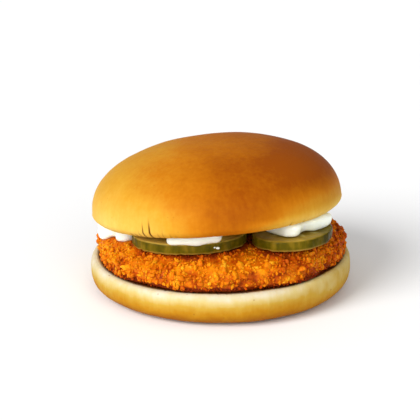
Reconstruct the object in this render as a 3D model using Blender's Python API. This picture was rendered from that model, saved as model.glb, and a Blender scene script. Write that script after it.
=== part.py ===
"""Chicken burger: a soft round bun, a breaded chicken patty, two slices of pickle and a layer of mayonnaise.

Metres, +Z up.  The origin is on the table under the middle of the bun.  +X is the right-hand side and -Y is
the front, where the two slices of pickle hold the top of the bun open.
"""

import math

import bmesh
import bpy
from mathutils import Euler, Vector

MM = 0.001
GAP = 0.3 * MM                              # air left between pieces that touch
FULL_TURN = 2.0 * math.pi

# Curves are (steps, power): power 2 is a quarter ellipse, and a higher power is squarer.
# Waves round an outline are (number of waves, phase in radians, size).

# Bottom of the bun
HEEL_RADIUS = 50.3 * MM                     # widest part
HEEL_HEIGHT = 13.2 * MM
HEEL_WIDEST_HEIGHT = 7.5 * MM
HEEL_FOOT_RADIUS = 39.0 * MM                # flat part it stands on
HEEL_CUT_RADIUS = 47.5 * MM                 # cut face that carries the patty
HEEL_CUT_SLOPE = 0.012                      # rises towards +X
HEEL_LOWER_CURVE = (6, 2.35)
HEEL_UPPER_CURVE = (5, 2.4)
HEEL_WAVES = ((2, 0.6, 0.004), (3, 2.1, 0.004), (5, 0.9, 0.002))       # shares of the radius

# Patty
PATTY_RADIUS = 47.9 * MM
PATTY_CENTRE_X = 0.2 * MM
PATTY_THICKNESS = 10.5 * MM                 # in the middle
PATTY_WIDEST_SHARE = 0.38                   # height of the widest part, as a share of the thickness
PATTY_BOTTOM_SHARE = 0.975                  # flat part of the bottom, as a share of the radius
PATTY_TOP_SHARE = 0.72                      # flat part of the top; a round shoulder falls away from it
PATTY_TOP_SLOPE = 0.041                     # rises towards +X
PATTY_LOWER_CURVE = (5, 2.3)
PATTY_UPPER_CURVE = (6, 2.0)
PATTY_LUMP = 0.7 * MM                       # how far the breading bulges in and out
LUMP_TWIST = 2.0                            # radians the lumps turn between the bottom and the top
OUTLINE_WAVES = (                           # shares of PATTY_LUMP, the same at every height
    (2, 0.4, 0.35), (3, 1.9, 0.45), (5, 0.2, 0.4), (8, 2.8, 0.45), (13, 1.1, 0.35), (19, 4.0, 0.25),
)
LUMP_WAVES = ((7, 0.5, 0.5), (11, 3.6, 0.5), (17, 1.7, 0.35))          # shares of PATTY_LUMP, twisted

# Oval slices of pickle, lying on the patty:
# (name, centre x, centre y, half-length, half-width, direction of the long axis)
PICKLE_THICKNESS = 4.1 * MM
PICKLE_EDGE_ROUNDING = 0.7 * MM
PICKLE_EDGE_CURVE = (3, 3.2)
PICKLE_WAVES = ((3, 0.7, 0.010), (7, 1.3, 0.004))                       # shares of the radius
PICKLES = (
    ("pickle_left", -12.0 * MM, -22.1 * MM, 21.5 * MM, 14.0 * MM, math.radians(-7.0)),
    ("pickle_right", 26.8 * MM, -22.8 * MM, 16.0 * MM, 13.4 * MM, math.radians(36.0)),
)

# Top of the bun, measured from the middle of its widest part
CROWN_RADIUS = 48.0 * MM
CROWN_DOME_HEIGHT = 24.7 * MM               # up to the top
CROWN_SKIRT_HEIGHT = 4.3 * MM               # down to the cut face
CROWN_CUT_RADIUS = 40.6 * MM
CROWN_LEAN = 1.4 * MM                       # how far the dome leans towards +X at its top
CROWN_LOWER_CURVE = (5, 2.0)
CROWN_UPPER_CURVE = (12, 2.13)
CROWN_WAVES = ((2, 1.2, 0.003), (3, 0.3, 0.003))                        # shares of the radius
CROWN_CENTRE = Vector((-1.5 * MM, 0.0, 33.5 * MM))
CROWN_TILT = Euler((math.radians(-5.5), math.radians(-4.5), 0.0))     # front and right side up

# Mayonnaise: how far it reaches from the middle, and the lobes squeezed out further
# (first and last direction in degrees from +X, reach at the first, reach at the last)
MAYO_REACH = 20.0 * MM
MAYO_CORE_RADIUS = 14.0 * MM
MAYO_BLEND = 6                              # higher keeps the lobes more apart
MAYO_OVERHANG = 1.6 * MM                    # stays level this far past the edge of a slice
MAYO_EDGE_INSET = 0.3                       # how far the round edge draws in, as a share of the depth
MAYO_LOBE_EDGE = math.radians(4.6)          # angle over which a lobe dies away at either side
MAYO_LOBES = (
    (181.0, 190.0, 47.2 * MM, 45.6 * MM),
    (198.0, 203.5, 42.4 * MM, 41.6 * MM),
    (241.0, 268.5, 41.2 * MM, 35.8 * MM),
    (307.5, 313.0, 43.6 * MM, 43.2 * MM),
    (321.5, 334.0, 43.8 * MM, 46.0 * MM),
    (15.0, 19.0, 43.8 * MM, 43.2 * MM),
    (28.0, 30.0, 40.8 * MM, 40.4 * MM),
    (57.0, 60.0, 42.4 * MM, 42.8 * MM),
    (69.0, 72.0, 43.6 * MM, 42.8 * MM),
    (113.0, 116.0, 43.6 * MM, 43.0 * MM),
    (125.0, 128.0, 41.2 * MM, 40.6 * MM),
    (146.0, 149.0, 41.8 * MM, 41.4 * MM),
)

# Fineness of the faceted surfaces
BUN_SEGMENTS = 72
PATTY_SEGMENTS = 84
PICKLE_SEGMENTS = 48
MAYO_SEGMENTS = 112
MAYO_RIM_STEPS = 7


# ---- shapes shared by the pieces ----

def arc_share(step, steps, power):
    """Point of a quarter superellipse as two shares: 1, 0 at the first step and 0, 1 at the last."""
    angle = 0.5 * math.pi * step / steps
    return math.cos(angle) ** (2.0 / power), math.sin(angle) ** (2.0 / power)


def rounded_profile(bottom, widest, top, lower, upper):
    """(radius, height) pairs up the side of a round body.

    `bottom`, `widest` and `top` are (radius, height) too; `lower` and `upper` are the (steps, power) of the
    curves below and above the widest part.
    """
    profile = []
    for end, curve, steps in ((bottom, lower, range(lower[0], 0, -1)), (top, upper, range(upper[0] + 1))):
        for step in steps:
            out, away = arc_share(step, *curve)
            radius = end[0] + (widest[0] - end[0]) * out
            height = widest[1] + (end[1] - widest[1]) * away
            profile.append((radius, height))
    return profile


def ring_angles(segments):
    return [FULL_TURN * index / segments for index in range(segments)]


def wobble(angle, waves):
    """Sum of the waves round a piece in one direction."""
    return sum(size * math.sin(count * angle + phase) for count, phase, size in waves)


def lofted_mesh(name, rings):
    """Mesh through a stack of rings of points; a ring of one point closes it to a tip, others get a cap."""
    mesh = bmesh.new()
    levels = [[mesh.verts.new(point) for point in ring] for ring in rings]
    for lower, upper in zip(levels, levels[1:]):
        for index, corner in enumerate(lower):
            following = (index + 1) % len(lower)
            if len(upper) == 1:
                mesh.faces.new((corner, lower[following], upper[0]))
            else:
                mesh.faces.new((corner, lower[following], upper[following], upper[index]))
    for level in (levels[0], levels[-1]):
        if len(level) > 1:
            mesh.faces.new(level)
    bmesh.ops.recalc_face_normals(mesh, faces=mesh.faces)
    data = bpy.data.meshes.new(name)
    mesh.to_mesh(data)
    mesh.free()
    return data


def add_object(name, data, material=None):
    """Object in the scene, shaded smooth except on its flat faces."""
    piece = bpy.data.objects.new(name, data)
    bpy.context.collection.objects.link(piece)
    for face in data.polygons:
        face.use_smooth = len(face.vertices) <= 4
    if material:
        data.materials.append(material)
    return piece


# ---- heights of the surfaces that pieces lie on ----

def heel_top(x):
    return HEEL_HEIGHT + HEEL_CUT_SLOPE * x


def patty_plane(x):
    return HEEL_HEIGHT + GAP + PATTY_THICKNESS + PATTY_TOP_SLOPE * x


def patty_top(x, y):
    """Top of the patty without its lumps: flat in the middle, lower towards the rim."""
    flat_radius = PATTY_RADIUS * PATTY_TOP_SHARE
    out = (math.hypot(x - PATTY_CENTRE_X, y) - flat_radius) / (PATTY_RADIUS - flat_radius)
    out = min(max(out, 0.0), 1.0)
    fall = (1.0 - PATTY_WIDEST_SHARE) * (1.0 - math.sqrt(1.0 - out * out))
    return patty_plane(x) - PATTY_THICKNESS * fall


def support_height(x, y):
    """Top of whatever lies under the mayonnaise at the point (x, y)."""
    for _, centre_x, centre_y, *oval in PICKLES:
        angle = math.atan2(y - centre_y, x - centre_x)
        if math.hypot(x - centre_x, y - centre_y) < pickle_outline(angle, *oval) + MAYO_OVERHANG:
            return patty_plane(x) + GAP + PICKLE_THICKNESS
    return patty_top(x, y)


def crown_cut_height(x, y):
    """Height of the cut face under the crown at the point (x, y)."""
    tilt = CROWN_TILT.to_matrix()
    middle = CROWN_CENTRE + tilt @ Vector((0.0, 0.0, -CROWN_SKIRT_HEIGHT))
    normal = tilt @ Vector((0.0, 0.0, 1.0))
    return middle.z - (normal.x * (x - middle.x) + normal.y * (y - middle.y)) / normal.z


# ---- bun ----

def heel_mesh():
    """Bottom half of the bun: flat foot, full round side, cut face on top."""
    profile = rounded_profile((HEEL_FOOT_RADIUS, 0.0), (HEEL_RADIUS, HEEL_WIDEST_HEIGHT),
                              (HEEL_CUT_RADIUS, HEEL_HEIGHT), HEEL_LOWER_CURVE, HEEL_UPPER_CURVE)
    rings = []
    for radius, height in profile:
        ring = []
        for angle in ring_angles(BUN_SEGMENTS):
            reach = radius * (1.0 + wobble(angle, HEEL_WAVES))
            x = reach * math.cos(angle)
            ring.append((x, reach * math.sin(angle), height * heel_top(x) / HEEL_HEIGHT))
        rings.append(ring)
    return lofted_mesh("heel", rings)


def crown_mesh():
    """Top half of the bun: a low dome over a short skirt that curls in to the cut face."""
    profile = rounded_profile((CROWN_CUT_RADIUS, -CROWN_SKIRT_HEIGHT), (CROWN_RADIUS, 0.0),
                              (0.0, CROWN_DOME_HEIGHT), CROWN_LOWER_CURVE, CROWN_UPPER_CURVE)
    rings = []
    for radius, height in profile[:-1]:
        lean = CROWN_LEAN * max(height / CROWN_DOME_HEIGHT, 0.0) ** 2
        ring = []
        for angle in ring_angles(BUN_SEGMENTS):
            reach = radius * (1.0 + wobble(angle, CROWN_WAVES))
            ring.append((lean + reach * math.cos(angle), reach * math.sin(angle), height))
        rings.append(ring)
    rings.append([(CROWN_LEAN, 0.0, CROWN_DOME_HEIGHT)])
    return lofted_mesh("crown", rings)


# ---- filling ----

def patty_mesh(name, growth=0.0):
    """Breaded patty: a thick disc with a lumpy rim and a round shoulder, grown all round by `growth`."""
    top_radius = PATTY_RADIUS * PATTY_TOP_SHARE
    profile = rounded_profile((PATTY_RADIUS * PATTY_BOTTOM_SHARE, 0.0), (PATTY_RADIUS, PATTY_WIDEST_SHARE),
                              (top_radius, 1.0), PATTY_LOWER_CURVE, PATTY_UPPER_CURVE)
    rings = []
    for radius, share in profile:
        ring = []
        rim = (radius - top_radius) / (PATTY_RADIUS - top_radius)
        for angle in ring_angles(PATTY_SEGMENTS):
            bulge = wobble(angle, OUTLINE_WAVES) + wobble(angle + LUMP_TWIST * share, LUMP_WAVES)
            reach = radius + rim * (growth + PATTY_LUMP * bulge)
            x = PATTY_CENTRE_X + reach * math.cos(angle)
            bottom = heel_top(x) + GAP - growth
            top = patty_plane(x) + growth
            ring.append((x, reach * math.sin(angle), bottom + (top - bottom) * share))
        rings.append(ring)
    return lofted_mesh(name, rings)


def pickle_outline(angle, half_length, half_width, long_axis):
    """Radius of the oval, slightly wavy outline of a slice."""
    turn = angle - long_axis
    oval = half_length * half_width / math.hypot(half_width * math.cos(turn), half_length * math.sin(turn))
    return oval * (1.0 + wobble(turn, PICKLE_WAVES))


def add_pickle(name, centre_x, centre_y, *oval, material=None, growth=0.0):
    """Slice of pickle with rounded edges, lying on the patty, grown all round by `growth`."""
    half = 0.5 * PICKLE_THICKNESS + growth
    rings = []
    for inset, height in rounded_profile((-PICKLE_EDGE_ROUNDING, -half), (0.0, 0.0),
                                         (-PICKLE_EDGE_ROUNDING, half),
                                         PICKLE_EDGE_CURVE, PICKLE_EDGE_CURVE):
        ring = []
        for angle in ring_angles(PICKLE_SEGMENTS):
            reach = pickle_outline(angle, *oval) + growth + inset
            ring.append((reach * math.cos(angle), reach * math.sin(angle), height))
        rings.append(ring)
    piece = add_object(name, lofted_mesh(name, rings), material)
    piece.location = (centre_x, centre_y, patty_plane(centre_x) + GAP + 0.5 * PICKLE_THICKNESS)
    piece.rotation_euler.y = -math.atan(PATTY_TOP_SLOPE)
    return piece


def mayo_reach(angle):
    """How far the mayonnaise spreads in one direction."""
    total = 0.0
    for first, last, first_reach, last_reach in MAYO_LOBES:
        half = 0.5 * math.radians(last - first)
        apart = math.remainder(angle - math.radians(first) - half, FULL_TURN)
        along = 0.5 + 0.5 * min(max(apart / half, -1.0), 1.0)
        beyond = max(abs(apart) - half, 0.0) / MAYO_LOBE_EDGE
        reach = first_reach + (last_reach - first_reach) * along
        total += ((reach - MAYO_REACH) * math.exp(-beyond ** 3)) ** MAYO_BLEND
    return MAYO_REACH + total ** (1.0 / MAYO_BLEND)


def mayo_ring(turn):
    """Ring of the mayonnaise's round edge, from what it lies on (turn 0) up to the crown (turn pi)."""
    share = 0.5 - 0.5 * math.cos(turn)
    inset = MAYO_EDGE_INSET * (1.0 - math.sin(turn))
    ring = []
    for angle in ring_angles(MAYO_SEGMENTS):
        reach = mayo_reach(angle)
        x = reach * math.cos(angle)
        y = reach * math.sin(angle)
        bottom = support_height(x, y) - GAP
        depth = crown_cut_height(x, y) - GAP - bottom
        x -= depth * inset * math.cos(angle)
        y -= depth * inset * math.sin(angle)
        top = crown_cut_height(x, y) - GAP
        ring.append((x, y, bottom + (top - bottom) * share))
    return ring


def cut_clear(piece, cutter):
    """Cut the room that another piece takes out of this one."""
    cutter.hide_render = True
    cutter.display_type = "WIRE"
    cut = piece.modifiers.new(cutter.name, "BOOLEAN")
    cut.operation = "DIFFERENCE"
    cut.solver = "EXACT"
    cut.object = cutter


def add_mayonnaise(material):
    """Layer that fills the space under the crown, squeezed out into round lobes, clear of what it lies on."""
    core = []
    for angle in ring_angles(MAYO_SEGMENTS):
        x = MAYO_CORE_RADIUS * math.cos(angle)
        core.append((x, MAYO_CORE_RADIUS * math.sin(angle), patty_plane(x) - GAP))
    edge = [mayo_ring(math.pi * step / MAYO_RIM_STEPS) for step in range(MAYO_RIM_STEPS + 1)]
    layer = add_object("mayonnaise", lofted_mesh("mayonnaise", [core] + edge), material)
    cut_clear(layer, add_object("patty_room", patty_mesh("patty_room", GAP)))
    for name, *place in PICKLES:
        cut_clear(layer, add_pickle(name + "_room", *place, growth=GAP))
    return layer


# ---- materials ----

def make_material(name, colour, roughness):
    """Plain Principled material; the colour is linear red, green and blue."""
    material = bpy.data.materials.new(name)
    material.use_nodes = True
    shader = material.node_tree.nodes["Principled BSDF"]
    shader.inputs["Base Color"].default_value = (*colour, 1.0)
    shader.inputs["Roughness"].default_value = roughness
    return material


def main():
    for thing in list(bpy.data.objects):
        bpy.data.objects.remove(thing, do_unlink=True)
    add_object("heel", heel_mesh(), make_material("heel_bread", (0.78, 0.50, 0.19), 0.6))
    add_object("patty", patty_mesh("patty"), make_material("breading", (0.62, 0.19, 0.02), 0.7))
    for name, *place in PICKLES:
        add_pickle(name, *place, material=make_material(name + "_flesh", (0.17, 0.15, 0.03), 0.35))
    add_mayonnaise(make_material("white_mayonnaise", (0.92, 0.90, 0.80), 0.3))
    crown = add_object("crown", crown_mesh(), make_material("crown_bread", (0.64, 0.27, 0.04), 0.5))
    crown.location = CROWN_CENTRE
    crown.rotation_euler = CROWN_TILT


main()
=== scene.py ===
"""Looks of the chicken burger: soft bun, breaded chicken patty, slices of pickle and mayonnaise.

Metres, +Z up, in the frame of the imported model.  -Y is the front, where the pickles hold the bun open.
Every solid of the frame is remeshed and rounded into a piece of food, then given its relief and its finish.
"""

import math
import random
from typing import NamedTuple

import bmesh
import bpy
from mathutils import Euler, Matrix, Vector, noise
from mathutils.bvhtree import BVHTree


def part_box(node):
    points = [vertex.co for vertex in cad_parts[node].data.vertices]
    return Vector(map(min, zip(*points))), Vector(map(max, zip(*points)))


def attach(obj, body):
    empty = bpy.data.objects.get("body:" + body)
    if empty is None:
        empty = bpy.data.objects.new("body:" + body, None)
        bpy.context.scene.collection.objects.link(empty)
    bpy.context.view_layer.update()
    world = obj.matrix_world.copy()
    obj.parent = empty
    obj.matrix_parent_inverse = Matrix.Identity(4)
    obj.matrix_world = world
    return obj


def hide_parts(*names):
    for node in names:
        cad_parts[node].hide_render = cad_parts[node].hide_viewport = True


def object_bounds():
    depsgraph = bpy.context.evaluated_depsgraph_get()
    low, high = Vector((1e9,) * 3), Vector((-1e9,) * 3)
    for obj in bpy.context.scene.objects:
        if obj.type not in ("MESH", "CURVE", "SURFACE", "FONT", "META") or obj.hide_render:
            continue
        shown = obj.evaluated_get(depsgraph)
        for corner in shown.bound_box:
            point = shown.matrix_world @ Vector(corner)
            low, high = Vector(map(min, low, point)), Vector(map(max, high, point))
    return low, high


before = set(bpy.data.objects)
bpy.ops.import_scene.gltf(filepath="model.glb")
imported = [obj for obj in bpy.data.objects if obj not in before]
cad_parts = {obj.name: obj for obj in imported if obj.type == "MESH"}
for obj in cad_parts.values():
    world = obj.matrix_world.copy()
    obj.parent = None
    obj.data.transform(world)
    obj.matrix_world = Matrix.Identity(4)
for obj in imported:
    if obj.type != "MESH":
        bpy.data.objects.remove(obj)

CAD_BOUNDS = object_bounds()
MM = 0.001
BODY = "root"
UP = Vector((0.0, 0.0, 1.0))
# A face looks along a direction where the cosine of the angle between the two is above this
ROUGHLY_FACING = 0.97
EXACTLY_FACING = 0.9995

# Remeshing: (length of a mesh cell, rounds of smoothing that take the facets away)
CROWN_MESH = (0.65 * MM, 29)
HEEL_MESH = (0.65 * MM, 17)
PATTY_MESH = (0.47 * MM, 15)
PICKLE_MESH = (0.32 * MM, 8)
MAYO_MESH = (0.52 * MM, 47)

# Unevenness: layers of smooth noise, each as (height, size of its lumps, noise seed).
# The height is in metres on a surface, and in units of tone for patches of colour.
CROWN_SWELL = ((0.22 * MM, 17.0 * MM, 3.0), (0.05 * MM, 5.0 * MM, 8.0))
CROWN_PLEATS = ((0.07 * MM, 1.8 * MM, 5.0),)
CROWN_PATCHES = ((0.05, 16.0 * MM, 6.0),)
HEEL_SWELL = ((0.22 * MM, 15.0 * MM, 21.0), (0.07 * MM, 4.0 * MM, 24.0))
HEEL_PLEATS = ((0.05 * MM, 1.5 * MM, 27.0),)
HEEL_PATCHES = ((0.05, 12.0 * MM, 23.0),)
BREADING_LUMPS = (
    (0.40 * MM, 9.0 * MM, 31.0),
    (0.42 * MM, 3.6 * MM, 33.0),
    (0.30 * MM, 1.7 * MM, 35.0),
)
BREADING_PATCHES = ((0.30, 6.5 * MM, 37.0), (0.24, 2.8 * MM, 39.0))
MAYO_RIPPLE = ((0.42 * MM, 5.5 * MM, 51.0), (0.06 * MM, 2.2 * MM, 53.0))
# Pleats and ridges are noise drawn out upwards: the smaller the factor, the longer they are
CROWN_PLEAT_DRAW = 0.15
HEEL_PLEAT_DRAW = 0.1
RIDGE_DRAW = 0.45

# Bun: smoothing rounds the rim beside the cut face off, and the rim is raised by this much again
CROWN_RIM_RAISE = 0.5 * MM
HEEL_RIM_RAISE = 0.35 * MM
RIM_HEIGHT = (3.0 * MM, 12.0 * MM)          # raised fully up to the first, not at all from the second
PLEAT_HEIGHT = (2.0 * MM, 9.0 * MM)         # the same for the fine pleats in the crown's lower skin
CUT_BLEND = (0.05 * MM, 0.30 * MM)          # the toasted face ends this far from the cut plane
HEEL_SOLE = 1.5 * MM                        # relief fades out over this height, so that the foot stays flat
SOAKED_REACH = (0.6 * MM, 1.8 * MM)         # painted shade darkens the heel's cut face this far from the patty

# Short creases in the skin at the crown's lower edge, most at the front and a few at the back:
# (degrees from +X round the crown's axis, height where it ends, half-width, slant, darkness).
# The slant is the sideways run for each unit of height.
# The darkness of a crease is the strength of its painted shade, and it also scales how deep the crease cuts
# in.
CREASES = (
    (240.0, 9.0 * MM, 0.22 * MM, -0.07, 1.0),
    (236.3, 7.5 * MM, 0.18 * MM, -0.04, 0.9),
    (233.8, 4.6 * MM, 0.15 * MM, 0.0, 0.5),
    (231.3, 2.8 * MM, 0.26 * MM, 0.0, 1.0),
    (228.6, 3.0 * MM, 0.24 * MM, 0.0, 1.0),
    (243.7, 4.0 * MM, 0.15 * MM, 0.0, 0.4),
    (246.0, 5.8 * MM, 0.14 * MM, 0.0, 0.3),
    (249.5, 3.6 * MM, 0.14 * MM, 0.0, 0.4),
    (252.0, 3.2 * MM, 0.13 * MM, 0.0, 0.35),
    (305.0, 3.0 * MM, 0.22 * MM, 0.0, 0.8),
    (313.0, 2.8 * MM, 0.20 * MM, 0.0, 0.7),
    (78.0, 4.4 * MM, 0.18 * MM, 0.12, 1.0),
    (81.5, 2.9 * MM, 0.16 * MM, 0.0, 0.8),
    (84.0, 4.8 * MM, 0.14 * MM, 0.0, 0.5),
    (149.0, 3.6 * MM, 0.16 * MM, 0.10, 0.9),
)
CREASE_REACH = 0.7 * MM                     # half-width of the groove in the mesh
CREASE_DEPTH = 0.2 * MM
CREASE_FADE = 0.35                          # a crease fades from this share of its height to its upper end
CREASE_EDGE = (0.6, 2.4)                    # from its dark middle to its rim, in half-widths

# Breading: the skin lies inside the solid where it is open, and the crumbs on it reach the solid's surface
SKIN_SINK = 0.9 * MM
SKIN_OPEN = (0.6 * MM, 2.5 * MM)            # from covered to open: distance to the nearest other solid
FOOT_RECESS = 0.5 * MM                      # drawn in further just above the heel
FOOT_HEIGHT = (0.8 * MM, 2.2 * MM)          # from drawn in to the usual outline
FOOT_DARK_HEIGHT = (1.1 * MM, 2.5 * MM)     # from painted shade to the usual colour
JUICE_REACH = (0.4 * MM, 2.6 * MM)          # painted shade darkens the breading this far around the slices
LUMP_TONE = 0.26 / MM                       # painted light and shade: how much paler a lump is for each metre that it stands out, and darker a hollow for each metre that it sinks in

# Crumbs: each is a ball, stretched, turned and roughened by chance
CRUMB_ROOM = 0.35 * MM                      # nearest that a crumb's middle comes to another solid
CRUMB_ROOM_SHARE = 0.75                     # largest radius of a crumb, as a share of the room it has
CRUMB_STAND = 0.10                          # how far its middle stands out, as a share of its radius
CRUMB_RARITY = 1.8                          # above 1, large crumbs are rarer than small ones
CRUMB_WIDTH = (0.5, 0.85)                   # smallest and largest width, as a share of its length
CRUMB_THICKNESS = (0.35, 0.65)              # the same for its thickness
CRUMB_ROUGHNESS = 0.55                      # height of its lumps, as a share of its radius
CRUMB_LUMP = 0.8                            # size of its lumps, in radii
CRUMB_TONE = (0.57, 0.07)                   # mean and scatter of its tone
CRUMB_TIP_TONE = 0.16                       # painted light: how much paler its outer end is
# (piece, random seed, number of crumbs, smallest and largest radius, subdivisions of each)
CRUMBS = (
    ("patty_flakes", 11, 560, 0.90 * MM, 1.80 * MM, 3),
    ("patty_crumbs", 12, 2400, 0.40 * MM, 1.00 * MM, 2),
)

# Slices of pickle: (node, noise seed, which also turns its rings of pickle seeds, paleness of the flesh
# towards the skin, which is partly painted light where a slice is lit, darkness of the end at +X)
SLICES = (
    ("pickle_left", 2.0, 0.95, 0.35),
    ("pickle_right", 7.0, 0.2, 0.9),
)
DISH_DEPTH = 0.35 * MM                      # the flesh sinks in towards the middle
RIDGE_HEIGHT = 0.30 * MM                    # ridges that run up the skin
RIDGE_WIDTH = 2.2 * MM
PULP_HEIGHT = 0.08 * MM                     # fine unevenness all over
PULP_GRAIN = 1.2 * MM
SLICE_FOOT = (0.35 * MM, 1.1 * MM)          # the skin is paler tan up to this height above its lower edge
SEED_COUNT = 10
SEED_RINGS = (0.45, 0.53, 0.61)             # distances from the middle, as shares of the slice's radius
SEED_HALF_SIZE = (2.2 * MM, 1.0 * MM)       # outwards and sideways
SEED_RISE = 0.18 * MM

# Mayonnaise
MAYO_CLOSING = 3.0 * MM                     # lobes nearer than twice this flow together
MAYO_SWELL = 0.6 * MM                       # gives back what the smoothing takes and closes the gaps
MAYO_RISE = 1.0 * MM                        # how far it climbs up outside the crown's cut face
MAYO_RISE_REACH = (38.0 * MM, 43.0 * MM)    # it climbs this far from the middle: from not at all to fully
MAYO_STAIN = (24.0 * MM, 30.0 * MM)         # painted shade in brown nearer to the middle than this
# White beads of mayonnaise on the side of a slice, standing in for bright glints on its wet skin as painted
# highlights: (place, radius)
DROPS = (
    (Vector((-1.1, -34.9, 26.3)) * MM, 0.55 * MM),
    (Vector((-2.3, -35.0, 26.5)) * MM, 0.35 * MM),
)
DROP_SUBDIVISIONS = 3
DROP_STRETCH = Matrix.Diagonal((1.3, 1.0, 0.9))
DROP_SAG = 0.25                             # unevenness, as a share of its radius

# Camera and light
VIEW_ELEVATION = math.radians(18.0)
VIEW_DISTANCE = 0.60
VIEW_WIDTH = 0.162                          # width of the picture at the burger
VIEW_OFFSET = Vector((-4.2 * MM, 0.0, 0.0))  # from the middle of the burger to the middle of the picture
SENSOR_WIDTH_MM = 36.0
FLOOR_SIZE = 8.0
# (name, direction the light comes from, strength, softness in degrees)
SUNS = (
    ("key", Vector((-0.62, -0.58, 0.53)), 3.15, 36.0),
    ("front_fill", Vector((0.20, -0.90, 0.30)), 1.5, 60.0),
)
SKY_STRENGTH = 0.43


# ---- mesh helpers ----

def share(value, low, high):
    """Where value lies between low and high, from 0 to 1, with soft ends."""
    part = min(max((value - low) / (high - low), 0.0), 1.0)
    return part * part * (3.0 - 2.0 * part)


def wave(place, size, seed):
    """Smooth noise from about -1 to 1 whose lumps are about `size` across; each seed gives other lumps."""
    return noise.noise(place / size + Vector((seed, 1.7 * seed, -seed)))


def waves(place, layers):
    """Sum of layers of smooth noise, each given as (height, size of its lumps, seed)."""
    return sum(height * wave(place, size, seed) for height, size, seed in layers)


def drawn_up(place, factor):
    """The place with its height times factor, which draws noise out upwards."""
    return Vector((place.x, place.y, factor * place.z))


def placed(name, data):
    """New object in the scene that shows the data."""
    thing = bpy.data.objects.new(name, data)
    bpy.context.scene.collection.objects.link(thing)
    return thing


def mesh_piece(name, points, faces):
    """New smooth object made of points and faces."""
    mesh = bpy.data.meshes.new(name)
    mesh.from_pydata(points, [], faces)
    mesh.shade_smooth()
    return placed(name, mesh)


def applied(piece):
    """Bakes the modifiers of a piece into its mesh."""
    settled = piece.evaluated_get(bpy.context.evaluated_depsgraph_get())
    mesh = bpy.data.meshes.new_from_object(settled)
    piece.modifiers.clear()
    piece.data = mesh
    return piece


def food_from(node_name, piece_name, mesh_settings):
    """Fine, rounded copy of a solid of the frame."""
    cell, rounds = mesh_settings
    piece = placed(piece_name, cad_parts[node_name].data.copy())
    add_remesh(piece, cell)
    add_smooth(piece, rounds)
    applied(piece)
    piece.data.name = piece_name
    piece.data.shade_smooth()
    piece.data.materials.clear()
    return piece


def add_remesh(piece, cell):
    """Rebuilds the surface from even cells."""
    remesh = piece.modifiers.new("remesh", "REMESH")
    remesh.mode = "VOXEL"
    remesh.voxel_size = cell


def add_smooth(piece, rounds):
    """Evens the surface out."""
    smooth = piece.modifiers.new("smooth", "SMOOTH")
    smooth.factor = 0.5
    smooth.iterations = rounds


def add_offset(piece, distance):
    """Moves the whole surface out, or in where distance is below 0."""
    offset = piece.modifiers.new("offset", "DISPLACE")
    offset.mid_level = 0.0
    offset.strength = distance


def flat_face(node_name, direction):
    """(centre, normal) of the flat face of a solid that looks along `direction`."""
    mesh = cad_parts[node_name].data
    normal = direction
    for closeness in ROUGHLY_FACING, EXACTLY_FACING:
        faces = [face for face in mesh.polygons if face.normal.dot(normal) > closeness]
        normal = sum((face.normal * face.area for face in faces), Vector()).normalized()
    area = sum(face.area for face in faces)
    centre = sum((face.center * face.area for face in faces), Vector()) / area
    return centre, normal


def own_frame(centre, axis):
    """Matrix from the shared frame to a frame at `centre` whose +Z is `axis`."""
    turn = UP.rotation_difference(axis).to_matrix().to_4x4()
    return (Matrix.Translation(centre) @ turn).inverted()


def raise_skin(piece, relief):
    """Moves every vertex along its normal by relief(place, normal)."""
    vertices = piece.data.vertices
    moves = [vertex.normal * relief(vertex.co, vertex.normal) for vertex in vertices]
    for vertex, move in zip(vertices, moves):
        vertex.co += move
    piece.data.update()


def paint(piece, name, value_at):
    """Stores value_at(place, normal) at every vertex, for the materials to read."""
    values = [value_at(vertex.co, vertex.normal) for vertex in piece.data.vertices]
    piece.data.attributes.new(name, "FLOAT", "POINT").data.foreach_set("value", values)


def paint_place(piece, to_own):
    """Stores every vertex's place in the piece's own frame."""
    flat = []
    for vertex in piece.data.vertices:
        flat.extend(to_own @ vertex.co)
    piece.data.attributes.new("place", "FLOAT_VECTOR", "POINT").data.foreach_set("vector", flat)


def hand_over(piece, material, slot, *nodes):
    """Puts a finished piece in the burger, in place of solids of the frame."""
    piece.data.materials.append(material)
    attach(piece, BODY)
    if nodes:
        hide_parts(*nodes)
    return piece


# ---- material helpers ----

def new_material(name):
    """(material, node tree, Principled shader) of a new material."""
    material = bpy.data.materials.new(name)
    material.use_nodes = True
    return material, material.node_tree, material.node_tree.nodes["Principled BSDF"]


def connect(tree, source, target):
    """Links source to target, or sets target to it where it is a plain value."""
    if isinstance(source, bpy.types.NodeSocket):
        tree.links.new(source, target)
    else:
        target.default_value = source


def stored(tree, name, output="Fac"):
    """The values that paint() or paint_place() stored under a name."""
    node = tree.nodes.new("ShaderNodeAttribute")
    node.attribute_name = name
    return node.outputs[output]


def calculate(tree, operation, first, second=0.0):
    """Result of a sum, product or other operation."""
    node = tree.nodes.new("ShaderNodeMath")
    node.operation = operation
    connect(tree, first, node.inputs[0])
    connect(tree, second, node.inputs[1])
    return node.outputs["Value"]


def along(tree, place, direction):
    """How far a place lies along a direction."""
    node = tree.nodes.new("ShaderNodeVectorMath")
    node.operation = "DOT_PRODUCT"
    connect(tree, place, node.inputs[0])
    node.inputs[1].default_value = direction
    return node.outputs["Value"]


def spread(tree, value, old, new=(0.0, 1.0)):
    """Maps value from the range old to the range new, with soft ends."""
    node = tree.nodes.new("ShaderNodeMapRange")
    node.interpolation_type = "SMOOTHSTEP"
    connect(tree, value, node.inputs["Value"])
    node.inputs["From Min"].default_value, node.inputs["From Max"].default_value = old
    node.inputs["To Min"].default_value, node.inputs["To Max"].default_value = new
    return node.outputs["Result"]


def stretched(tree, place, scale):
    """The place times scale, which stretches a texture where scale is below 1."""
    node = tree.nodes.new("ShaderNodeMapping")
    connect(tree, place, node.inputs["Vector"])
    node.inputs["Scale"].default_value = scale
    return node.outputs["Vector"]


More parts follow.
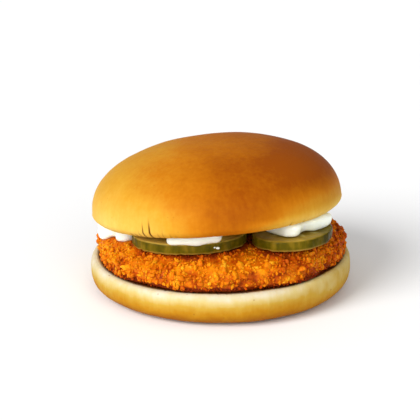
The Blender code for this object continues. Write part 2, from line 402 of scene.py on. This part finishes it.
def clouds(tree, place, size, detail=2.0):
    """Noise from 0 to 1 whose patches are about `size` across."""
    node = tree.nodes.new("ShaderNodeTexNoise")
    connect(tree, place, node.inputs["Vector"])
    node.inputs["Scale"].default_value = 1.0 / size
    node.inputs["Detail"].default_value = detail
    return node.outputs["Fac"]


def cell_distance(tree, place, size):
    """Distance to the nearest of random points about `size` apart, in sizes."""
    node = tree.nodes.new("ShaderNodeTexVoronoi")
    connect(tree, place, node.inputs["Vector"])
    node.inputs["Scale"].default_value = 1.0 / size
    return node.outputs["Distance"]


def colours(tree, value, stops):
    """Colour ramp through (position, (red, green, blue)) stops."""
    node = tree.nodes.new("ShaderNodeValToRGB")
    connect(tree, value, node.inputs["Fac"])
    elements = node.color_ramp.elements
    while len(elements) < len(stops):
        elements.new(0.5)
    for element, (position, colour) in zip(elements, stops):
        element.position = position
        element.color = (*colour, 1.0)
    return node.outputs["Color"]


def colour_socket(sockets, name):
    """The socket of that name that carries a colour, as a mix node has one for each kind of value."""
    return next(socket for socket in sockets if socket.name == name and socket.type == "RGBA")


def mixed(tree, factor, first, second, mode="MIX"):
    """The first colour blended with the second as far as factor says."""
    node = tree.nodes.new("ShaderNodeMix")
    node.data_type = "RGBA"
    node.blend_type = mode
    connect(tree, factor, node.inputs["Factor"])
    for name, value in (("A", first), ("B", second)):
        colour = value if isinstance(value, bpy.types.NodeSocket) else (*value, 1.0)
        connect(tree, colour, colour_socket(node.inputs, name))
    return colour_socket(node.outputs, "Result")


def bumped(tree, height, distance, normal=None):
    """Normal of a surface that rises by distance where height is 1."""
    node = tree.nodes.new("ShaderNodeBump")
    connect(tree, height, node.inputs["Height"])
    node.inputs["Distance"].default_value = distance
    if normal is not None:
        connect(tree, normal, node.inputs["Normal"])
    return node.outputs["Normal"]


def set_finish(shader, **values):
    """Sets plain values on the shader's own sockets; underscores in a name stand for spaces."""
    for name, value in values.items():
        shader.inputs[name.replace("_", " ")].default_value = value


# ---- materials ----

# Ramps are (position, linear red, green and blue); the single colours are mixed in by a mask
CRUST_STOPS = (
    (0.00, (0.70, 0.46, 0.100)),
    (0.15, (0.64, 0.37, 0.055)),
    (0.40, (0.56, 0.270, 0.020)),
    (0.65, (0.49, 0.162, 0.005)),
    (0.80, (0.41, 0.116, 0.002)),
    (1.00, (0.28, 0.060, 0.001)),
)

HEEL_STOPS = (
    (0.00, (0.62, 0.55, 0.40)),
    (0.22, (0.56, 0.43, 0.16)),
    (0.45, (0.48, 0.29, 0.036)),
    (0.70, (0.42, 0.190, 0.008)),
    (1.00, (0.31, 0.100, 0.002)),
)

BREADING_STOPS = (
    (0.00, (0.13, 0.013, 0.0003)),
    (0.30, (0.38, 0.056, 0.0006)),
    (0.55, (0.57, 0.136, 0.001)),
    (0.80, (0.70, 0.235, 0.003)),
    (1.00, (0.82, 0.37, 0.014)),
)

TOAST_STOPS = (
    (0.30, (0.24, 0.085, 0.008)),
    (0.50, (0.38, 0.17, 0.025)),
    (0.75, (0.56, 0.33, 0.080)),
)

FLESH_STOPS = (
    (0.30, (0.19, 0.115, 0.008)),
    (0.55, (0.28, 0.175, 0.016)),
    (0.80, (0.36, 0.235, 0.030)),
)

PICKLE_SKIN_STOPS = (
    (0.28, (0.058, 0.047, 0.0008)),
    (0.50, (0.105, 0.074, 0.0010)),
    (0.74, (0.20, 0.125, 0.006)),
)

CREAM_STOPS = (
    (0.3, (0.88, 0.96, 0.78)),
    (0.7, (0.91, 0.98, 0.86)),
)

PORE_BROWN = (0.16, 0.055, 0.006)
SPECK_BROWN = (0.22, 0.08, 0.010)
CREASE_BROWN = (0.10, 0.025, 0.002)
SOAKED_BROWN = (0.07, 0.014, 0.001)
RIND_YELLOW = (0.88, 0.60, 0.11)
SEED_YELLOW = (0.42, 0.33, 0.10)
SLICE_FOOT_BROWN = (0.36, 0.20, 0.03)
SLICE_SHADE = (0.36, 0.40, 0.25)
STAIN_BROWN = (0.14, 0.07, 0.01)
FLOOR_COLOUR = (0.94, 0.94, 0.94, 1.0)

PORE_SPACING = 1.9 * MM
PORE_EDGE = (0.12, 0.42)                    # from a pore's middle to its rim, in spacings
PORE_DEPTH = 0.5 * MM
SPECK_EDGE = (0.04, 0.11)                   # from a speck's middle to its rim, in spacings
LEATHER_GRAIN = 0.7 * MM                    # grain of the baked skin
SIDE_ONLY = (5.0 * MM, 10.0 * MM)           # a crease's line shows on its own side of the axis only
SOFT_CONTRAST = (0.2, 0.8)                  # part of the noise's range that is spread out over a look's range
HARD_CONTRAST = (0.25, 0.75)


def toasted_face(tree, place):
    """(colour, height) of a cut and toasted face of bread: brown film with open pores, darkened in the pores
    with painted shade.
    """
    colour = colours(tree, clouds(tree, place, 7.0 * MM, 3.0), TOAST_STOPS)
    flat = spread(tree, cell_distance(tree, place, PORE_SPACING), PORE_EDGE)
    # painted shade: the middles of the pores are darkened towards brown
    colour = mixed(tree, spread(tree, flat, (0.0, 1.0), (0.5, 0.0)), colour, PORE_BROWN)
    grain = clouds(tree, place, 0.9 * MM, 4.0)
    return colour, calculate(tree, "ADD", flat, grain)


def crease_mask(tree, place, degrees, top, half_width, slant, darkness):
    """Painted shade of a thin line that runs up the side of the crown from its lower edge, in a crease."""
    angle = math.radians(degrees)
    across = along(tree, place, (-math.sin(angle), math.cos(angle), -slant))
    edge = [half_width * factor for factor in CREASE_EDGE]
    near = spread(tree, calculate(tree, "ABSOLUTE", across), edge, (darkness, 0.0))
    low = spread(tree, along(tree, place, UP), (CREASE_FADE * top, top), (1.0, 0.0))
    side = spread(tree, along(tree, place, (math.cos(angle), math.sin(angle), 0.0)), SIDE_ONLY)
    return calculate(tree, "MULTIPLY", near, calculate(tree, "MULTIPLY", low, side))


def all_creases(tree, place):
    """Painted shade of the darkest crease at a place."""
    darkest = 0.0
    for crease in CREASES:
        darkest = calculate(tree, "MAXIMUM", darkest, crease_mask(tree, place, *crease))
    return darkest


def mottled(tree, place, tone, layers, contrast):
    """The tone with uneven patches: each layer is (size of a patch, amount)."""
    for size, amount in layers:
        patch = spread(tree, clouds(tree, place, size, 3.0), contrast, (-amount, amount))
        tone = calculate(tree, "ADD", tone, patch)
    return tone


def specked(tree, place, colour, spacing, strength):
    """The colour with tiny burnt specks about `spacing` apart."""
    specks = spread(tree, cell_distance(tree, place, spacing), SPECK_EDGE, (strength, 0.0))
    return mixed(tree, specks, colour, SPECK_BROWN)


def cover_bread(tree, shader, crust_colour, crust_normal, face_colour, face_height):
    """Shows the crust, and the toasted face where the bread is cut."""
    cut = stored(tree, "cut")
    connect(tree, mixed(tree, cut, crust_colour, face_colour), shader.inputs["Base Color"])
    open_face = calculate(tree, "MULTIPLY", cut, face_height)
    connect(tree, bumped(tree, open_face, PORE_DEPTH, crust_normal), shader.inputs["Normal"])


def crown_material():
    """Smooth baked crust with faint streaks, and creases darkened with painted shade, over a toasted cut
    face.
    """
    material, tree, shader = new_material("crown_crust")
    place = stored(tree, "place", "Vector")
    patches = ((14.0 * MM, 0.05), (3.0 * MM, 0.025), (1.1 * MM, 0.02))
    tone = mottled(tree, place, stored(tree, "browning"), patches, SOFT_CONTRAST)
    streaks = clouds(tree, stretched(tree, place, (1.0, 1.0, 0.10)), 1.5 * MM)
    tone = calculate(tree, "ADD", tone, spread(tree, streaks, SOFT_CONTRAST, (-0.03, 0.03)))
    colour = specked(tree, place, colours(tree, tone, CRUST_STOPS), 3.2 * MM, 0.30)
    creases = all_creases(tree, place)
    # painted shade: the creases are darkened towards brown
    colour = mixed(tree, creases, colour, CREASE_BROWN)
    leather = clouds(tree, place, LEATHER_GRAIN, 3.0)
    skin = bumped(tree, creases, -0.25 * MM, bumped(tree, leather, 0.02 * MM))
    cover_bread(tree, shader, colour, skin, *toasted_face(tree, place))
    connect(tree, spread(tree, leather, SOFT_CONTRAST, (0.46, 0.58)), shader.inputs["Roughness"])
    set_finish(shader, Specular_IOR_Level=0.03, Subsurface_Weight=0.04)
    set_finish(shader, Subsurface_Scale=1.2 * MM, Subsurface_Radius=(1.0, 0.4, 0.08))
    return material


def heel_material():
    """Wrinkled pale crust, over a toasted cut face darkened beside the patty with painted shade."""
    material, tree, shader = new_material("heel_crust")
    place = stored(tree, "place", "Vector")
    patches = ((13.0 * MM, 0.09), (3.2 * MM, 0.045))
    tone = mottled(tree, place, stored(tree, "browning"), patches, SOFT_CONTRAST)
    wrinkles = clouds(tree, stretched(tree, place, (1.0, 1.0, 0.14)), 1.1 * MM)
    tone = calculate(tree, "ADD", tone, spread(tree, wrinkles, HARD_CONTRAST, (-0.015, 0.025)))
    colour = specked(tree, place, colours(tree, tone, HEEL_STOPS), 4.5 * MM, 0.55)
    leather = clouds(tree, place, LEATHER_GRAIN, 3.0)
    skin = bumped(tree, wrinkles, 0.05 * MM, bumped(tree, leather, 0.03 * MM))
    face_colour, face_height = toasted_face(tree, place)
    # painted shade on the cut face where it lies close under the patty
    face_colour = mixed(tree, stored(tree, "soaked"), face_colour, SOAKED_BROWN)
    cover_bread(tree, shader, colour, skin, face_colour, face_height)
    connect(tree, spread(tree, leather, SOFT_CONTRAST, (0.5, 0.65)), shader.inputs["Roughness"])
    set_finish(shader, Specular_IOR_Level=0.04, Subsurface_Weight=0.06)
    set_finish(shader, Subsurface_Scale=1.2 * MM, Subsurface_Radius=(1.0, 0.5, 0.15))
    return material


def breading_material():
    """Fried crumb, from dark brown in its hollows to orange on its tips: its own tone with painted shade and
    light.
    """
    material, tree, shader = new_material("fried_breading")
    place = stored(tree, "place", "Vector")
    patches = ((4.0 * MM, 0.08), (0.9 * MM, 0.10))
    tone = mottled(tree, place, stored(tree, "tone"), patches, HARD_CONTRAST)
    connect(tree, colours(tree, tone, BREADING_STOPS), shader.inputs["Base Color"])
    grit = clouds(tree, place, 0.5 * MM, 3.0)
    connect(tree, bumped(tree, grit, 0.10 * MM), shader.inputs["Normal"])
    connect(tree, spread(tree, grit, (0.3, 0.7), (0.40, 0.6)), shader.inputs["Roughness"])
    set_finish(shader, Specular_IOR_Level=0.06, Subsurface_Weight=0.5)
    set_finish(shader, Subsurface_Scale=1.0 * MM, Subsurface_Radius=(1.0, 0.3, 0.03))
    return material


def pickle_material():
    """Wet olive flesh with seeds, inside a darker striped skin."""
    material, tree, shader = new_material("pickle_flesh")
    place = stored(tree, "place", "Vector")
    flesh = colours(tree, clouds(tree, place, 3.0 * MM, 3.0), FLESH_STOPS)
    # pale rind near the skin, partly painted light: much paler on the lit left slice
    flesh = mixed(tree, stored(tree, "rind"), flesh, RIND_YELLOW)
    flesh = mixed(tree, stored(tree, "seed"), flesh, SEED_YELLOW)
    stripes = clouds(tree, stretched(tree, place, (1.0, 1.0, 0.35)), 2.4 * MM, 4.0)
    colour = mixed(tree, stored(tree, "edge"), flesh, colours(tree, stripes, PICKLE_SKIN_STOPS))
    colour = mixed(tree, stored(tree, "foot"), colour, SLICE_FOOT_BROWN)
    colour = mixed(tree, stored(tree, "shade"), colour, SLICE_SHADE, "MULTIPLY")
    connect(tree, colour, shader.inputs["Base Color"])
    ridges = bumped(tree, stripes, 0.10 * MM)
    pulp = bumped(tree, clouds(tree, place, 0.9 * MM, 3.0), 0.08 * MM, ridges)
    connect(tree, pulp, shader.inputs["Normal"])
    set_finish(shader, Roughness=0.30, Specular_IOR_Level=0.04, Coat_Weight=0.02, Coat_Roughness=0.10)
    set_finish(shader, Subsurface_Weight=0.15, Subsurface_Scale=0.8 * MM, Subsurface_Radius=(0.9, 0.8, 0.1))
    return material


def mayonnaise_material():
    """Glossy cream, with painted shade in brown deep inside the burger."""
    material, tree, shader = new_material("mayonnaise_cream")
    place = stored(tree, "place", "Vector")
    colour = colours(tree, clouds(tree, place, 4.0 * MM), CREAM_STOPS)
    colour = mixed(tree, stored(tree, "stain"), colour, STAIN_BROWN)
    connect(tree, colour, shader.inputs["Base Color"])
    connect(tree, bumped(tree, clouds(tree, place, 1.6 * MM), 0.03 * MM), shader.inputs["Normal"])
    set_finish(shader, Roughness=0.25, Specular_IOR_Level=0.5, Coat_Weight=0.2, Coat_Roughness=0.12)
    set_finish(shader, Subsurface_Weight=0.6, Subsurface_Scale=1.6 * MM, Subsurface_Radius=(1.0, 0.95, 0.8))
    return material


# ---- bun ----

def bare_rim(from_cut, facing_cut):
    """1 on the rim of a bun beside its cut face, 0 on the cut face and further away on the crust."""
    near = 1.0 - share(from_cut, *RIM_HEIGHT)
    return near * share(facing_cut, 0.0, 0.5) * (1.0 - share(facing_cut, 0.85, 0.98))


def crease_depth(own):
    """How deep the creases cut in at a place in the crown's own frame, from 0 to 1."""
    deepest = 0.0
    for degrees, top, _, slant, darkness in CREASES:
        if own.z < top:
            angle = math.radians(degrees)
            across = own.y * math.cos(angle) - own.x * math.sin(angle) - slant * own.z
            outward = own.x * math.cos(angle) + own.y * math.sin(angle)
            if outward > 0.0:
                depth = darkness * (1.0 - share(abs(across), 0.0, CREASE_REACH))
                deepest = max(deepest, depth * (1.0 - share(own.z, CREASE_FADE * top, top)))
    return deepest


def crown_browning(up, right):
    """How brown the crown is at a place given as shares of its height and of its radius to the right."""
    top = share(up, 0.0, 0.62)
    deep = share(right, -0.95, 0.30)
    low_middle = deep * (1.0 - top) * (1.0 - share(abs(right), 0.25, 0.6))
    low_right = share(right, 0.4, 0.8) * (1.0 - share(up, 0.25, 0.6))
    edge_right = share(right, 0.05, 0.45) * (1.0 - share(up, 0.06, 0.22))
    shoulder = share(right, 0.1, 0.7) * share(up, 0.2, 0.45)
    peak = share(up, 0.78, 1.0)
    darker = 0.36 * top + 0.58 * deep + 0.30 * low_middle + 0.09 * shoulder
    paler = 0.25 * low_right + 0.40 * edge_right + 0.12 * peak
    return 0.01 + darker - paler


def make_crown():
    """Top of the bun: smooth baked dome over a toasted cut face."""
    piece = food_from("crown", "bun_top", CROWN_MESH)
    centre, down = flat_face("crown", -UP)
    to_own = own_frame(centre, -down)
    height = max((to_own @ vertex.co).z for vertex in piece.data.vertices)
    low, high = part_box("crown")
    radius = 0.5 * (high.x - low.x)

    def relief(place, normal):
        own = to_own @ place
        pleats = waves(drawn_up(own, CROWN_PLEAT_DRAW), CROWN_PLEATS) * (1.0 - share(own.z, *PLEAT_HEIGHT))
        rim = CROWN_RIM_RAISE * bare_rim(own.z, normal.dot(down))
        return waves(own, CROWN_SWELL) + pleats + rim - CREASE_DEPTH * crease_depth(own)

    def browning(place, normal):
        own = to_own @ place
        return crown_browning(own.z / height, own.x / radius) + waves(own, CROWN_PATCHES)

    def cut(place, normal):
        return 1.0 - share((to_own @ place).z, *CUT_BLEND)

    paint_place(piece, to_own)
    paint(piece, "browning", browning)
    paint(piece, "cut", cut)
    raise_skin(piece, relief)
    return hand_over(piece, crown_material(), "crown_bread", "crown")


def heel_browning(rise, x):
    """How brown the heel is, from its foot where rise is 0 to its cut where it is 1, and across the bun."""
    right = share(x, 14.0 * MM, 44.0 * MM)
    foot_to_side = 0.37 * share(rise, 0.10, 0.60)
    side_to_cut = 0.56 * share(rise, 0.47, 0.96)
    return 0.97 - foot_to_side - side_to_cut + right * (0.34 * share(rise, 0.55, 0.90) - 0.12)


def make_heel(patty_tree):
    """Bottom of the bun: pale at the cut, browned at the foot."""
    piece = food_from("heel", "bun_bottom", HEEL_MESH)
    centre, up = flat_face("heel", UP)
    to_own = own_frame(centre, up)

    def relief(place, normal):
        swell = waves(place, HEEL_SWELL) + waves(drawn_up(place, HEEL_PLEAT_DRAW), HEEL_PLEATS)
        rim = HEEL_RIM_RAISE * bare_rim(-(to_own @ place).z, normal.dot(up))
        return (swell + rim) * share(place.z, 0.0, HEEL_SOLE)

    def browning(place, normal):
        rise = 1.0 + (to_own @ place).z / centre.z
        return heel_browning(rise, place.x) + waves(place, HEEL_PATCHES)

    def cut(place, normal):
        return 1.0 - share(-(to_own @ place).z, *CUT_BLEND)

    # painted shade: 1 right beside the patty, fading out further away
    def soaked(place, normal):
        return 1.0 - share(room_at(patty_tree, place), *SOAKED_REACH)

    paint_place(piece, to_own)
    paint(piece, "browning", browning)
    paint(piece, "cut", cut)
    paint(piece, "soaked", soaked)
    raise_skin(piece, relief)
    return hand_over(piece, heel_material(), "heel_bread", "heel")


# ---- patty ----

class Surroundings(NamedTuple):
    """What lies round the breading."""

    others: BVHTree                         # every solid but the patty
    slices: BVHTree                         # the slices of pickle
    foot: float                             # height of the patty's underside


def solid_tree(node_names):
    """Search tree over the surfaces of solids of the frame."""
    corners, faces = [], []
    for name in node_names:
        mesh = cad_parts[name].data
        start = len(corners)
        corners.extend(vertex.co.copy() for vertex in mesh.vertices)
        faces.extend([start + index for index in face.vertices] for face in mesh.polygons)
    return BVHTree.FromPolygons(corners, faces)


def room_at(tree, place):
    """Distance from a place to the nearest surface of a search tree."""
    return tree.find_nearest(place)[3]


def frying(place, around):
    """How pale the breading is in one region: random patches, with painted shade at its foot, beside the
    slices and on the right.
    """
    # painted shade at the foot, just above the heel, stronger away from the left
    foot = 0.30 + 0.50 * share(place.x, -44.0 * MM, -20.0 * MM)
    foot *= 1.0 - share(place.z - around.foot, *FOOT_DARK_HEIGHT)
    # painted shade beside and under the slices
    juice = 0.40 * (1.0 - share(room_at(around.slices, place), *JUICE_REACH))
    # darker on the right and more so at the back right: painted shade away from the key light, partly the
    # breading's own darker tone
    right = 0.13 * share(place.x, 5.0 * MM, 32.0 * MM)
    back_right = 0.08 * share(place.x, 30.0 * MM, 46.0 * MM) * share(place.y, -30.0 * MM, -8.0 * MM)
    return waves(place, BREADING_PATCHES) - (foot + juice + right + back_right)


def make_patty(material, around):
    """The breaded patty without its loose crumbs."""
    piece = food_from("patty", "patty_breading", PATTY_MESH)

    def relief(place, normal):
        bare = share(room_at(around.others, place), *SKIN_OPEN)
        low = 1.0 - share(place.z - around.foot, *FOOT_HEIGHT)
        upright = share(1.0 - abs(normal.z), 0.2, 0.6)
        return bare * (waves(place, BREADING_LUMPS) - SKIN_SINK) - FOOT_RECESS * low * upright

    def tone(place, normal):
        # painted light and shade: paler where a lump stands out, darker in the hollows
        return 0.50 + LUMP_TONE * waves(place, BREADING_LUMPS) + frying(place, around)

    paint_place(piece, Matrix.Identity(4))
    paint(piece, "tone", tone)
    raise_skin(piece, relief)
    return hand_over(piece, material, "breading", "patty")


def ball(subdivisions):
    """(corners, faces) of a ball of radius 1."""
    shape = bmesh.new()
    bmesh.ops.create_icosphere(shape, subdivisions=subdivisions, radius=1.0)
    corners = [vertex.co.copy() for vertex in shape.verts]
    faces = [[vertex.index for vertex in face.verts] for face in shape.faces]
    shape.free()
    return corners, faces


def crumb_spots(patty, others, chance, count):
    """Random places on the breading with room for a crumb: (place, normal, room)."""
    faces = []
    for face in patty.data.polygons:
        room = room_at(others, face.center)
        if room > CRUMB_ROOM:
            faces.append((face.center.copy(), face.normal.copy(), room))
    return [chance.choice(faces) for _ in range(count)]


def make_crumbs(patty, material, around, name, seed, count, smallest, largest, subdivisions):
    """Loose flakes of fried crumb, stuck in the breading."""
    chance = random.Random(seed)
    corners, faces = ball(subdivisions)
    points, polygons, tones = [], [], []
    for spot, normal, room in crumb_spots(patty, around.others, chance, count):
        size = smallest + (largest - smallest) * chance.random() ** CRUMB_RARITY
        size = min(size, CRUMB_ROOM_SHARE * room)
        sides = (1.0, chance.uniform(*CRUMB_WIDTH), chance.uniform(*CRUMB_THICKNESS))
        stretch = size * Matrix.Diagonal(sides)
        turn = Euler([chance.uniform(0.0, math.tau) for _ in range(3)]).to_matrix()
        lump_seed = chance.uniform(0.0, 100.0)
        tone = chance.gauss(*CRUMB_TONE) + frying(spot, around)
        middle = spot + normal * CRUMB_STAND * size
        start = len(points)
        for corner in corners:
            rough = 1.0 + CRUMB_ROUGHNESS * wave(corner, CRUMB_LUMP, lump_seed)
            points.append(middle + turn @ (stretch @ corner * rough))
            # painted light: the end of a crumb that faces outwards is paler
            tones.append(tone + CRUMB_TIP_TONE * (turn @ corner).dot(normal))
        polygons.extend([[start + index for index in face] for face in faces])
    piece = mesh_piece(name, points, polygons)
    piece.data.attributes.new("tone", "FLOAT", "POINT").data.foreach_set("value", tones)
    paint_place(piece, Matrix.Identity(4))
    return hand_over(piece, material, "breading")


# ---- pickles and mayonnaise ----

def seed_places(radius, turn):
    """Middles of the seeds, in rings round the middle of a slice."""
    places = []
    for index in range(SEED_COUNT):
        angle = math.tau * index / SEED_COUNT + turn
        out = radius * SEED_RINGS[index % len(SEED_RINGS)]
        places.append(Vector((math.cos(angle), math.sin(angle), 0.0)) * out)
    return places


def seed_mask(own, seeds):
    """1 on a seed, 0 beside the seeds."""
    half_length, half_width = SEED_HALF_SIZE
    closest = 1.0
    for middle in seeds:
        outward = middle.normalized()
        gap = own - middle
        radial = gap.dot(outward)
        sideways = gap - outward * radial
        distance = math.hypot(radial / half_length, math.hypot(sideways.x, sideways.y) / half_width)
        closest = min(closest, distance)
    return 1.0 - share(closest, 0.6, 1.0)


def make_pickle(material, node_name, noise_seed, paleness, darkness):
    """A wet slice of pickle: skin round the side, dished flesh with seeds, darker towards +X."""
    piece = food_from(node_name, "slice_" + node_name, PICKLE_MESH)
    centre, face_normal = flat_face(node_name, UP)
    to_own = own_frame(centre, face_normal)
    low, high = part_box(node_name)
    half_x = 0.5 * (high.x - low.x)
    half_y = 0.5 * (high.y - low.y)
    thickness = -min((to_own @ vertex.co).z for vertex in piece.data.vertices)
    seeds = seed_places(0.5 * (half_x + half_y), noise_seed)

    def out_at(own):
        return math.hypot(own.x / half_x, own.y / half_y)

    def facing_up(normal):
        return share(normal.dot(face_normal), 0.5, 0.9)

    def relief(place, normal):
        own = to_own @ place
        up = facing_up(normal)
        dish = DISH_DEPTH * up * (1.0 - out_at(own) ** 2)
        ridges = RIDGE_HEIGHT * (1.0 - up) * wave(drawn_up(own, RIDGE_DRAW), RIDGE_WIDTH, noise_seed)
        pulp = PULP_HEIGHT * wave(own, PULP_GRAIN, noise_seed)
        return ridges + pulp + SEED_RISE * up * seed_mask(own, seeds) - dish

    def seed_at(place, normal):
        return facing_up(normal) * seed_mask(to_own @ place, seeds)

    def edge(place, normal):
        return 1.0 - share(abs(normal.dot(face_normal)), 0.35, 0.97)

    def foot(place, normal):
        return 0.8 * (1.0 - share((to_own @ place).z + thickness, *SLICE_FOOT))

    # pale ring of flesh near the skin, partly painted light through the slice's paleness
    def rind(place, normal):
        out = out_at(to_own @ place)
        return paleness * share(out, 0.35, 0.80) * (1.0 - 0.5 * share(out, 0.90, 1.0))

    def shade(place, normal):
        own = to_own @ place
        patches = 0.5 * wave(own, 5.0 * MM, noise_seed + 3.0)
        return darkness * (share(own.x / half_x, 0.0, 0.9) + patches)

    paint_place(piece, to_own)
    looks = {"seed": seed_at, "edge": edge, "foot": foot, "rind": rind, "shade": shade}
    for name, value_at in looks.items():
        paint(piece, name, value_at)
    raise_skin(piece, relief)
    return hand_over(piece, material, "pickle", node_name)


def make_mayonnaise(material):
    """Soft glossy sauce squeezed out between the pickles and the bun."""
    piece = food_from("mayonnaise", "mayonnaise_layer", MAYO_MESH)
    cell, rounds = MAYO_MESH

    def climb(place, normal):
        outside = share(math.hypot(place.x, place.y), *MAYO_RISE_REACH)
        return MAYO_RISE * outside * share(normal.z, 0.0, 0.7)

    def relief(place, normal):
        return MAYO_SWELL + waves(place, MAYO_RIPPLE)

    # painted shade: brown towards the middle, deep inside the burger
    def stain(place, normal):
        return 1.0 - share(math.hypot(place.x, place.y), *MAYO_STAIN)

    raise_skin(piece, climb)
    add_offset(piece, MAYO_CLOSING)
    add_remesh(piece, cell)
    add_offset(piece, -MAYO_CLOSING)
    add_smooth(piece, rounds)
    applied(piece).data.shade_smooth()
    paint_place(piece, Matrix.Identity(4))
    paint(piece, "stain", stain)
    raise_skin(piece, relief)
    return hand_over(piece, material, "mayonnaise", "mayonnaise")


def make_drops(material):
    """Small white beads of mayonnaise on the side of a slice, as painted highlights for glints on its wet
    skin.
    """
    corners, faces = ball(DROP_SUBDIVISIONS)
    points, polygons = [], []
    for place, radius in DROPS:
        start = len(points)
        for corner in corners:
            sag = 1.0 + DROP_SAG * wave(radius * corner, 2.0 * radius, place.x / MM)
            points.append(place + DROP_STRETCH @ corner * radius * sag)
        polygons.extend([[start + index for index in face] for face in faces])
    piece = mesh_piece("mayonnaise_glint_drops", points, polygons)
    paint_place(piece, Matrix.Identity(4))
    return hand_over(piece, material, "mayonnaise")


# ---- stage ----

def make_floor():
    """Plain pale floor, far larger than the picture."""
    half = 0.5 * FLOOR_SIZE
    corners = [(-half, -half, 0.0), (half, -half, 0.0), (half, half, 0.0), (-half, half, 0.0)]
    floor = mesh_piece("floor", corners, [(0, 1, 2, 3)])
    material, _, shader = new_material("pale_floor")
    set_finish(shader, Base_Color=FLOOR_COLOUR, Roughness=0.8, Specular_IOR_Level=0.1)
    floor.data.materials.append(material)


def light_studio():
    """White surroundings, a soft key from the upper left and a softer fill from the front."""
    world = bpy.data.worlds.new("studio")
    world.use_nodes = True
    backdrop = world.node_tree.nodes["Background"]
    backdrop.inputs["Color"].default_value = (1.0, 1.0, 1.0, 1.0)
    backdrop.inputs["Strength"].default_value = SKY_STRENGTH
    bpy.context.scene.world = world
    for name, direction, strength, softness in SUNS:
        light = bpy.data.lights.new(name, "SUN")
        light.energy = strength
        light.angle = math.radians(softness)
        placed(name, light).rotation_euler = (-direction).to_track_quat("-Z", "Y").to_euler()
    bpy.context.scene.view_settings.view_transform = "Standard"


def make_camera(middle):
    """Camera in front of the burger, a little above it and aimed a little beside its middle."""
    backwards = Vector((0.0, -math.cos(VIEW_ELEVATION), math.sin(VIEW_ELEVATION)))
    data = bpy.data.cameras.new("photo_view")
    data.sensor_width = SENSOR_WIDTH_MM
    data.lens = SENSOR_WIDTH_MM * VIEW_DISTANCE / VIEW_WIDTH
    camera = placed("photo_view", data)
    camera.location = middle + VIEW_OFFSET + VIEW_DISTANCE * backwards
    camera.rotation_euler = (0.5 * math.pi - VIEW_ELEVATION, 0.0, 0.0)
    bpy.context.scene.camera = camera


# ---- the whole burger ----

def make_breading():
    """The patty with its crumbs."""
    material = breading_material()
    around = Surroundings(
        others=solid_tree([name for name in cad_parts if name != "patty"]),
        slices=solid_tree([look[0] for look in SLICES]),
        foot=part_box("patty")[0].z,
    )
    patty = make_patty(material, around)
    for settings in CRUMBS:
        make_crumbs(patty, material, around, *settings)


def make_slices():
    """Both slices of pickle."""
    material = pickle_material()
    for look in SLICES:
        make_pickle(material, *look)


def make_sauce():
    """The mayonnaise with its beads, which stand in for glints on a slice as painted highlights."""
    material = mayonnaise_material()
    make_mayonnaise(material)
    make_drops(material)


def main():
    """Makes the burger and its stage."""
    low, high = CAD_BOUNDS
    make_crown()
    make_heel(solid_tree(["patty"]))
    make_breading()
    make_slices()
    make_sauce()
    make_floor()
    light_studio()
    make_camera(0.5 * (Vector(low) + Vector(high)))


main()
